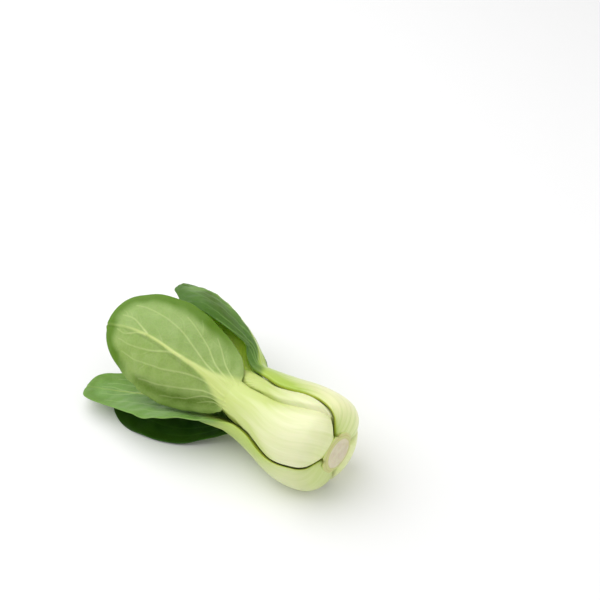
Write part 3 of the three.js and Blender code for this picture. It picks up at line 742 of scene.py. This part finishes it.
def crown_piece(seed):
    """The stem: its cut face, the rim round it, and the cone that the leaves grow from."""
    rng = np.random.default_rng(seed)
    knots = np.array([(i, u, r) for i, (u, r) in enumerate(CROWN_PROFILE)])
    hidden = np.linspace(CONE_KNOT + 0.2, len(CROWN_PROFILE) - 1, 24)
    t = np.concatenate([np.linspace(0, CONE_KNOT, 110), hidden])
    u, r = along(knots, t, 1)[:, None], np.maximum(along(knots, t, 2), 0.01)[:, None]
    turns = np.linspace(0, 2 * math.pi, 192, endpoint=False)
    uneven = sum(
        np.sin(k * turns + rng.uniform(0, 6.3)) * rng.uniform(0.4, 1) / k for k in (2, 3, 5, 8, 13)
    )
    rim = np.exp(-(((r - RING_RADIUS) / RING_BAND) ** 2))
    away = [np.abs(np.angle(np.exp(1j * (turns - math.radians(notch))))) for notch in NOTCHES]
    spread = 1 - np.exp(-((np.min(away, axis=0) / NOTCH_WIDTH) ** 2))
    past_ring = np.maximum(0, r - RING_START) * (u < CONE_DEPTH)
    radius = r + RING_UNEVEN * rim * uneven - NOTCH_DEPTH * past_ring * (1 - spread)
    rough = FACE_ROUGHNESS * np.sin(FACE_RINGS * r + uneven) * (r < FACE_RADIUS)
    points = round_axis(radius, turns, u + np.maximum(rough, 0))
    rows, wide = radius.shape
    index = np.arange(rows * wide).reshape(rows, wide)
    index = np.concatenate([index, index[:, :1]], axis=1)
    quads = grid_quads(index)[:, ::-1]
    flat = points.reshape(-1, 3)
    attributes = {
        "from_axis": (radius * MM).ravel(),
        "place": np.stack([flat[:, 1], flat[:, 2], flat[:, 0]], axis=-1) * MM,
        "turn": np.broadcast_to(turns, radius.shape).ravel(),
    }
    return new_mesh("cut_stem", to_part(flat), quads, attributes)


# Shader node groups and materials


class Nodes:
    """Short ways to add nodes and links to one tree."""

    def __init__(self, tree):
        self.tree = tree
        self.tree.nodes.clear()

    def add(self, kind, **values):
        node = self.tree.nodes.new(kind)
        for key, value in values.items():
            setattr(node, key, value)
        return node

    def feed(self, socket, value):
        if isinstance(value, bpy.types.NodeSocket):
            self.tree.links.new(value, socket)
        elif socket.type == "RGBA":
            socket.default_value = (*value, 1)
        else:
            socket.default_value = value

    def filled(self, kind, inputs, output=0, **values):
        """Adds a node, feeds its inputs by name or number, and gives one of its outputs."""
        node = self.add(kind, **values)
        for key, value in inputs.items():
            self.feed(node.inputs[key], value)
        return node.outputs[output]

    def attribute(self, name, output="Fac"):
        return self.add("ShaderNodeAttribute", attribute_name=name).outputs[output]

    def math(self, operation, a, b=0.0, c=0.0):
        return self.filled("ShaderNodeMath", {0: a, 1: b, 2: c}, operation=operation)

    def times(self, a, b):
        return self.math("MULTIPLY", a, b)

    def stirred(self, value, noise, share):
        """A value moved up and down by a noise."""
        return self.math("MULTIPLY_ADD", self.math("SUBTRACT", noise, 0.5), share, value)

    def mix(self, share, a, b):
        return self.filled("ShaderNodeMix", {0: share, 6: a, 7: b}, 2, data_type="RGBA")

    def between(self, value, low, high, to_low=0.0, to_high=1.0):
        """A soft step from one value to another while the given one goes from low to high."""
        inputs = dict(enumerate((value, low, high, to_low, to_high)))
        return self.filled("ShaderNodeMapRange", inputs, interpolation_type="SMOOTHSTEP")

    def scaled(self, vector, scale):
        return self.filled("ShaderNodeMapping", {"Vector": vector, "Scale": scale})

    def noise(self, vector, scale, detail=2.0, roughness=0.5):
        inputs = {"Vector": vector, "Scale": scale, "Detail": detail, "Roughness": roughness}
        return self.filled("ShaderNodeTexNoise", inputs, "Fac")

    def cell_edges(self, vector, scale):
        inputs = {"Vector": vector, "Scale": scale}
        return self.filled("ShaderNodeTexVoronoi", inputs, "Distance", feature="DISTANCE_TO_EDGE")


def new_group(name, colours, values, outputs):
    """A shader node group with its sockets, and the tools to fill it."""
    group = bpy.data.node_groups.new(name, "ShaderNodeTree")
    for label in colours:
        group.interface.new_socket(label, in_out="INPUT", socket_type="NodeSocketColor")
    for label in values:
        group.interface.new_socket(label, in_out="INPUT", socket_type="NodeSocketFloat")
    for label, kind in outputs.items():
        group.interface.new_socket(label, in_out="OUTPUT", socket_type=kind)
    nodes = Nodes(group)
    return group, nodes, nodes.add("NodeGroupInput").outputs, nodes.add("NodeGroupOutput").inputs


LEAF_COLOURS = (
    "Stalk", "Stalk Green", "Stalk Inside", "Back", "Back Deep", "Face", "Face Deep", "Vein", "Rim",
    "Fold", "Sheen",
)
LEAF_GLOSS = {"Stalk Gloss": 0.34, "Back Gloss": 0.55, "Face Gloss": 0.4}  # roughness of each surface
VEIN_COLOUR, VEINLET_COLOUR, NET_COLOUR, FINE_NET_COLOUR = 0.68, 0.22, 0.07, 0.05  # how far each shows
BUMP_HEIGHT = 0.00012  # height of a leaf's finest relief


def leaf_tissue():
    """Colour, gloss and relief of a leaf, from its masks and from noise in its own coordinates."""
    if "leaf_tissue" in bpy.data.node_groups:
        return bpy.data.node_groups["leaf_tissue"]
    group, n, put, out = new_group(
        "leaf_tissue", LEAF_COLOURS, LEAF_GLOSS,
        {"Color": "NodeSocketColor", "Roughness": "NodeSocketFloat", "Coat": "NodeSocketFloat",
         "Height": "NodeSocketFloat"},
    )
    place = n.attribute("place", "Vector")
    masks = ("blade", "vein", "veinlet", "rim", "green", "deep", "sheen", "free", "face")
    blade, vein, veinlet, rim, green, deep, sheen, free, face = (n.attribute(name) for name in masks)
    strands = n.noise(n.scaled(place, (1, 0.045, 1)), 1500, 3, 0.6)
    broad_strands = n.noise(n.scaled(place, (1, 0.06, 1)), 420, 2)
    patches = n.noise(place, 110, 3)
    fine = n.noise(place, 1900, 2)
    net = n.between(n.cell_edges(place, 330), 0.0, 0.16, 1.0, 0.0)
    fine_net = n.between(n.cell_edges(place, 820), 0.0, 0.2, 1.0, 0.0)

    streaks = n.stirred(green, broad_strands, 0.8)
    stalk = n.mix(streaks, put["Stalk"], put["Stalk Green"])
    stalk = n.mix(n.between(strands, 0.5, 0.75, 0.0, 0.16), stalk, put["Vein"])
    # Painted shade: the hidden faces of packed stalks show only in the gaps between them, and take the
    # olive of the shade there
    hidden = n.times(n.between(face, 0.02, 0.6), n.math("SUBTRACT", 1.0, free))
    stalk = n.mix(hidden, stalk, put["Stalk Inside"])
    patch = n.between(patches, 0.35, 0.65)
    back_tone = n.mix(patch, put["Back"], put["Back Deep"])
    face_tone = n.mix(patch, put["Face"], put["Face Deep"])
    tissue = n.mix(face, back_tone, face_tone)
    # Painted sheen: reflected light painted as a greyer green
    tissue = n.mix(sheen, tissue, put["Sheen"])
    # Painted shade along a blade's folds
    tissue = n.mix(deep, tissue, put["Fold"])
    # Darker margin: partly the blade's own deeper green, partly painted shade
    tissue = n.mix(rim, tissue, put["Rim"])
    lines = n.math("MAXIMUM", n.times(vein, VEIN_COLOUR), n.times(veinlet, VEINLET_COLOUR))
    netting = n.math("MAXIMUM", n.times(net, NET_COLOUR), n.times(fine_net, FINE_NET_COLOUR))
    netting = n.times(netting, n.math("SUBTRACT", 1.0, rim))
    tissue = n.mix(n.math("MAXIMUM", lines, netting), tissue, put["Vein"])
    n.feed(out["Color"], n.mix(blade, stalk, tissue))

    gloss = n.mix(face, put["Back Gloss"], put["Face Gloss"])
    gloss = n.mix(blade, put["Stalk Gloss"], gloss)
    n.feed(out["Roughness"], n.stirred(gloss, fine, 0.12))
    n.feed(out["Coat"], n.math("MULTIPLY_ADD", blade, -0.22, 0.25))

    turned = n.math("MULTIPLY_ADD", face, -1.6, 1.0)
    relief = n.math("MULTIPLY_ADD", n.times(net, 0.5), turned, n.times(fine, 0.35))
    strand_relief = n.math("MULTIPLY_ADD", strands, 0.5, n.times(broad_strands, 0.4))
    height = n.filled("ShaderNodeMix", {0: blade, 2: strand_relief, 3: relief}, data_type="FLOAT")
    n.feed(out["Height"], height)
    return group


def principled(nodes, **sockets):
    shader = nodes.add("ShaderNodeBsdfPrincipled")
    for key, value in sockets.items():
        nodes.feed(shader.inputs[key.replace("_", " ")], value)
    output = nodes.add("ShaderNodeOutputMaterial")
    nodes.tree.links.new(shader.outputs[0], output.inputs["Surface"])
    return shader


def bumped(nodes, height, distance):
    return nodes.filled("ShaderNodeBump", {"Height": height, "Distance": distance, "Strength": 0.6})


def linear(red, green, blue):
    """A colour of 0 to 255 as seen on a screen, as the shader's linear colour."""
    return tuple(
        (c / 255 / 12.92 if c < 10.3 else ((c / 255 + 0.055) / 1.055) ** 2.4) for c in (red, green, blue)
    )


def new_material(name):
    material = bpy.data.materials.new(name)
    material.use_nodes = True
    return material, Nodes(material.node_tree)


def leaf_material(name, tones):
    """A leaf's finish; tones follow LEAF_COLOURS."""
    material, nodes = new_material(name)
    group = nodes.add("ShaderNodeGroup", node_tree=leaf_tissue())
    for label, tone in zip(LEAF_COLOURS, tones):
        nodes.feed(group.inputs[label], tone)
    for label, roughness in LEAF_GLOSS.items():
        nodes.feed(group.inputs[label], roughness)
    shader = principled(
        nodes,
        Base_Color=group.outputs["Color"],
        Roughness=group.outputs["Roughness"],
        Coat_Weight=group.outputs["Coat"],
        Coat_Roughness=0.3,
        Normal=bumped(nodes, group.outputs["Height"], BUMP_HEIGHT),
        Subsurface_Weight=0.15,
        Subsurface_Scale=0.004,
        Specular_IOR_Level=0.35,
    )
    shader.inputs["Subsurface Radius"].default_value = (0.6, 1.0, 0.25)
    return material


RIM_START_RADIUS, RIM_FULL_RADIUS = 0.0079, 0.0089  # where the cut face turns into its rim, in metres
CUT_LINES = ((0.0087, 0.3), (0.0102, 0.35))  # radius of each brown line, and how far it shows
LINE_IN, LINE_OUT = 0.0005, 0.0004  # how wide such a line is, inwards and outwards
COLLAR_START, COLLAR_FULL = 0.0112, 0.0118  # radii over which the rim turns as green as a stalk
WANDER = 0.0009  # how far all these are off


def cut_material(colours):
    """The cut face: pale tissue in faint rings, pinker patches, brown lines and a yellow-green rim."""
    material, n = new_material("cut_stem_tissue")
    place, from_axis, turn = n.attribute("place", "Vector"), n.attribute("from_axis"), n.attribute("turn")
    ring_inputs = {0: n.times(from_axis, 900.0), 1: n.math("SINE", turn), 2: n.math("COSINE", turn)}
    rings = n.noise(n.filled("ShaderNodeCombineXYZ", ring_inputs), 1.6, 3)
    grain = n.noise(place, 1400, 3, 0.6)
    patches = n.noise(place, 240, 2)
    wander = n.stirred(from_axis, patches, WANDER)
    disc = n.mix(n.between(patches, 0.35, 0.7), colours.cut_face, colours.cut_middle)
    disc = n.mix(n.between(rings, 0.45, 0.7, 0.0, 0.35), disc, colours.cut_rim)
    tone = n.mix(n.between(wander, RIM_START_RADIUS, RIM_FULL_RADIUS), disc, colours.cut_rim)
    for radius, share in CUT_LINES:
        inside = n.between(wander, radius - LINE_IN, radius)
        line = n.times(inside, n.between(wander, radius, radius + LINE_OUT, share, 0.0))
        tone = n.mix(line, tone, colours.cut_line)
    tone = n.mix(n.between(wander, COLLAR_START, COLLAR_FULL), tone, colours.stalk_green)
    principled(
        n,
        Base_Color=tone,
        Roughness=n.between(grain, 0.2, 0.8, 0.42, 0.62),
        Normal=bumped(n, n.math("MULTIPLY_ADD", rings, 0.6, n.times(grain, 0.5)), 0.0002),
        Subsurface_Weight=0.15,
        Subsurface_Scale=0.003,
    )
    return material


def floor_material(colour):
    material, n = new_material("studio_floor")
    grain = n.noise(n.add("ShaderNodeTexCoord").outputs["Object"], 60, 2)
    principled(n, Base_Color=tuple(colour), Roughness=n.between(grain, 0.3, 0.7, 0.75, 0.85))
    return material


# Settings


def colour(name, description, red, green, blue):
    return FloatVectorProperty(
        name=name, description=description, default=linear(red, green, blue), size=3, subtype="COLOR",
        min=0, max=1,
    )


def length(name, description, default, least=0):
    return FloatProperty(
        name=name, description=description, default=default, min=least, unit="LENGTH", precision=5,
    )


def power(name, description, default):
    return FloatProperty(name=name, description=description, default=default, min=0, unit="POWER")


class BokchoyForm(bpy.types.PropertyGroup):
    """Sizes of the fine form of the leaves."""

    spacing: length("Grid spacing", "Distance between the points of a leaf's mesh", 0.00044, 0.0002)
    vein_height: length("Vein height", "How far the side veins stand out on the back of a blade", 0.00028)
    vein_groove: length("Vein groove", "How deep the side veins lie in the face of a blade", 0.00016)
    pucker: length("Pucker", "Height of the soft waves between the veins", 0.00025)
    ruffle: length("Ruffle", "Height of the small waves along a blade's margin", 0.0004)
    seed: IntProperty(name="Seed", description="Start of the random draws", default=11, min=0)


class BokchoyColours(bpy.types.PropertyGroup):
    """Colours of the stalks, the blades and the cut stem."""

    stalk: colour("Stalk", "White of the bulb", 236, 238, 192)
    stalk_green: colour("Stalk green", "Green that the stalks take on towards the neck", 204, 218, 126)
    # Painted shade: the olive of the shade in the gaps between packed stalks, put on their hidden faces
    stalk_inside: colour("Stalk inside", "Yellow-green of the stalks' hidden faces", 176, 188, 66)
    back: colour("Blade back", "Dusty green of a blade's back", 150, 176, 94)
    back_deep: colour("Blade back, deep", "Darker patches of a blade's back", 138, 166, 78)
    face: colour("Blade face", "Green of a blade's inner face", 122, 162, 68)
    face_deep: colour("Blade face, deep", "Darker patches of a blade's inner face", 108, 150, 58)
    vein: colour("Vein", "Pale green of ribs and veins", 204, 219, 146)
    # Partly the blade's own deeper green and partly painted shade where the margin curls away from the
    # light
    rim: colour("Blade rim", "Deep green along a blade's margin", 84, 120, 6)
    # Painted shade: the darker green that shade gives a blade's folds
    fold: colour("Fold", "Deep green in the folds of a blade", 92, 122, 22)
    # Painted sheen, not a waxy bloom: light reflected off a blade, painted as a greyer green
    sheen: colour("Sheen", "Greyer green where a blade has a waxy bloom", 150, 180, 112)
    cut_face: colour("Cut face", "Pale tissue of the cut stem", 214, 206, 178)
    cut_middle: colour("Cut middle", "Pinker patches of the cut stem", 206, 192, 168)
    cut_rim: colour("Cut rim", "Yellow-green ring round the cut face", 200, 202, 132)
    cut_line: colour("Cut line", "Fine brown lines round the cut face", 176, 160, 92)


class BokchoyStage(bpy.types.PropertyGroup):
    """The floor, the lights and the camera."""

    floor: colour("Floor", "Plain pale floor", 246, 246, 246)
    sky: FloatProperty(
        name="Room light", description="Strength of the even white light all round",
        default=0.55, min=0,
    )
    key: power("Key light", "Power of the large soft light above and to the left", 6.5)
    fill: power("Fill light", "Power of the weaker light from the right", 1.4)
    distance: length("Camera distance", "Distance from the camera to the cut face", 0.9, 0.2)


def dress(piece, material, node):
    """Gives a piece its finish, hangs it from the root body and hides the node that it stands for."""
    piece.data.materials.append(material)
    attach(piece, "root")
    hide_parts(node)


# What each channel of a tone is multiplied by, for the leaves that differ from the plain ones
LEAF_TINTS = {
    "leaf_left": {
        "Stalk": (0.82, 0.86, 0.7), "Stalk Green": (0.74, 0.82, 0.56), "Face": (0.95, 0.98, 0.8),
        "Vein": (0.8, 0.95, 0.9), "Sheen": (0.62, 0.76, 0.6),
    },
    "leaf_far": {
        "Stalk": (1.03, 1.02, 0.92), "Stalk Green": (0.68, 0.8, 0.36), "Back": (0.22, 0.38, 0.12),
        "Back Deep": (0.18, 0.34, 0.09), "Vein": (0.4, 0.58, 0.36), "Rim": (0.55, 0.72, 0.9),
        "Fold": (0.5, 0.62, 0.5), "Sheen": (0.58, 0.68, 0.48),
    },
    "leaf_top": {
        "Stalk Green": (0.95, 0.95, 0.98), "Back": (0.92, 0.92, 0.92), "Back Deep": (0.94, 0.94, 0.94),
        "Rim": (1.05, 1.05, 1), "Sheen": (0.92, 0.9, 0.9),
    },
    # Painted light: this leaf's back and rim are made far brighter than its own tones, to show through the
    # shade of the leaves over it
    "leaf_between": {
        "Stalk Green": (0.86, 0.88, 0.82), "Back": (2.5, 2.3, 1.4), "Back Deep": (2.6, 2.4, 1.5),
        "Rim": (7.5, 5.2, 32),
    },
    # Painted shade: this leaf lies under the head in its shadow, and its tones are made far darker than
    # its own
    "leaf_low": {
        "Face": (0.12, 0.24, 0.05), "Face Deep": (0.08, 0.2, 0.05), "Vein": (0.14, 0.3, 0.1),
        "Rim": (0.2, 0.34, 0.2), "Sheen": (0.1, 0.2, 0.1),
    },
}


def leaf_tones(colours, name):
    """A leaf's tones in the order of LEAF_COLOURS, with its own tints."""
    tones = []
    for label in LEAF_COLOURS:
        plain = getattr(colours, label.lower().replace(" ", "_"))
        factors = LEAF_TINTS.get(name, {}).get(label, (1, 1, 1))
        tones.append([min(1, channel * factor) for channel, factor in zip(plain, factors)])
    return tones


def make_leaves(context, leaves, first):
    scene = context.scene
    for number, leaf in enumerate(leaves, first):
        piece = leaf_piece(leaf, scene.bokchoy_form, number)
        material = leaf_material(leaf.name + "_tissue", leaf_tones(scene.bokchoy_colours, leaf.name))
        dress(piece, material, leaf.name)


class BOKCHOY_OT_stem_crown(bpy.types.Operator):
    """Make the cut stem that all leaves grow from"""

    bl_idname = "bokchoy.stem_crown"
    bl_label = "Cut stem"

    def execute(self, context):
        piece = crown_piece(context.scene.bokchoy_form.seed)
        dress(piece, cut_material(context.scene.bokchoy_colours), "stem_crown")
        return {"FINISHED"}


class BOKCHOY_OT_outer_leaves(bpy.types.Operator):
    """Make the four outer leaves, whose stalks form the bulb"""

    bl_idname = "bokchoy.outer_leaves"
    bl_label = "Outer leaves"

    def execute(self, context):
        make_leaves(context, OUTER_LEAVES, 1)
        return {"FINISHED"}


class BOKCHOY_OT_second_ring(bpy.types.Operator):
    """Make the four leaves of the second ring"""

    bl_idname = "bokchoy.second_ring"
    bl_label = "Second ring"

    def execute(self, context):
        make_leaves(context, SECOND_RING, 5)
        return {"FINISHED"}


class BOKCHOY_OT_inner_leaves(bpy.types.Operator):
    """Make the small leaves round the heart"""

    bl_idname = "bokchoy.inner_leaves"
    bl_label = "Inner leaves"

    def execute(self, context):
        make_leaves(context, INNER_LEAVES, 9)
        return {"FINISHED"}


VIEW_AZIMUTH, VIEW_ELEVATION = math.radians(38.6), math.radians(47)
PICTURE_SIZE = 600  # width and height in pixels
ANCHOR_PIXEL = (338.6, 453.5)  # where the middle of the cut face stands in the picture
VIEW_WIDTH = 0.306  # width of the picture at the cut face
FLOOR_HALF = 3
LIGHT_DISTANCE = 0.8


class BOKCHOY_OT_stage(bpy.types.Operator):
    """Make the floor, the lights and the camera"""

    bl_idname = "bokchoy.stage"
    bl_label = "Stage"

    def execute(self, context):
        scene, settings = context.scene, context.scene.bokchoy_stage
        corners = FLOOR_HALF * np.array([(-1, -1, 0), (1, -1, 0), (1, 1, 0), (-1, 1, 0)], float)
        floor = new_mesh("floor", corners, np.array([[0, 1, 2, 3]]), {})
        floor.data.materials.append(floor_material(settings.floor))

        a, e = VIEW_AZIMUTH, VIEW_ELEVATION
        to_camera = Vector((math.sin(a) * math.cos(e), -math.cos(a) * math.cos(e), math.sin(e)))
        right = Vector((math.cos(a), math.sin(a), 0))
        up = to_camera.cross(right)
        camera = bpy.data.objects.new("camera", bpy.data.cameras.new("camera"))
        scene.collection.objects.link(camera)
        anchor = Vector((CUT_X, AXIS_Y, AXIS_Z))
        turn = Matrix((right, up, to_camera)).transposed()
        camera.matrix_world = Matrix.Translation(anchor + to_camera * settings.distance) @ turn.to_4x4()
        camera.data.lens = camera.data.sensor_width * settings.distance / VIEW_WIDTH
        camera.data.shift_x = 0.5 - ANCHOR_PIXEL[0] / PICTURE_SIZE
        camera.data.shift_y = ANCHOR_PIXEL[1] / PICTURE_SIZE - 0.5
        camera.data.clip_start = 0.01
        scene.camera = camera

        world = bpy.data.worlds.new("room")
        scene.world = world
        world.use_nodes = True
        sky = world.node_tree.nodes["Background"]
        sky.inputs["Color"].default_value = (1, 1, 1, 1)
        sky.inputs["Strength"].default_value = settings.sky
        lights = (
            ("key_light", -0.5 * right + 0.75 * up + 0.5 * to_camera, 1.1, settings.key),
            ("fill_light", 0.9 * right + 0.1 * up + 0.6 * to_camera, 0.6, settings.fill),
        )
        for name, heading, size, power in lights:
            light = bpy.data.objects.new(name, bpy.data.lights.new(name, "AREA"))
            light.data.energy, light.data.size = power, size
            light.location = heading.normalized() * LIGHT_DISTANCE
            light.rotation_euler = heading.to_track_quat("Z", "Y").to_euler()
            scene.collection.objects.link(light)
        scene.view_settings.view_transform = "Standard"
        return {"FINISHED"}


SETTINGS = {"bokchoy_form": BokchoyForm, "bokchoy_colours": BokchoyColours, "bokchoy_stage": BokchoyStage}
OPERATORS = (
    BOKCHOY_OT_stage, BOKCHOY_OT_stem_crown, BOKCHOY_OT_outer_leaves, BOKCHOY_OT_second_ring,
    BOKCHOY_OT_inner_leaves,
)


class BOKCHOY_PT_panel(bpy.types.Panel):
    """Sizes, colours and pieces of the head"""

    bl_idname = "BOKCHOY_PT_panel"
    bl_label = "Baby bok choy"
    bl_space_type = "VIEW_3D"
    bl_region_type = "UI"
    bl_category = "Bok choy"

    def draw(self, context):
        for name in SETTINGS:
            settings = getattr(context.scene, name)
            box = self.layout.box()
            for key in settings.bl_rna.properties.keys():
                if key not in {"rna_type", "name"}:
                    box.prop(settings, key)
        for operator in OPERATORS:
            self.layout.operator(operator.bl_idname)


CLASSES = (*SETTINGS.values(), *OPERATORS, BOKCHOY_PT_panel)


def register():
    for cls in CLASSES:
        bpy.utils.register_class(cls)
    for name, cls in SETTINGS.items():
        setattr(bpy.types.Scene, name, PointerProperty(type=cls))


def unregister():
    for name in SETTINGS:
        delattr(bpy.types.Scene, name)
    for cls in reversed(CLASSES):
        bpy.utils.unregister_class(cls)


def main():
    register()
    bpy.ops.bokchoy.stage()
    bpy.ops.bokchoy.stem_crown()
    bpy.ops.bokchoy.outer_leaves()
    bpy.ops.bokchoy.second_ring()
    bpy.ops.bokchoy.inner_leaves()
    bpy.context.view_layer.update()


if __name__ == "__main__":
    main()
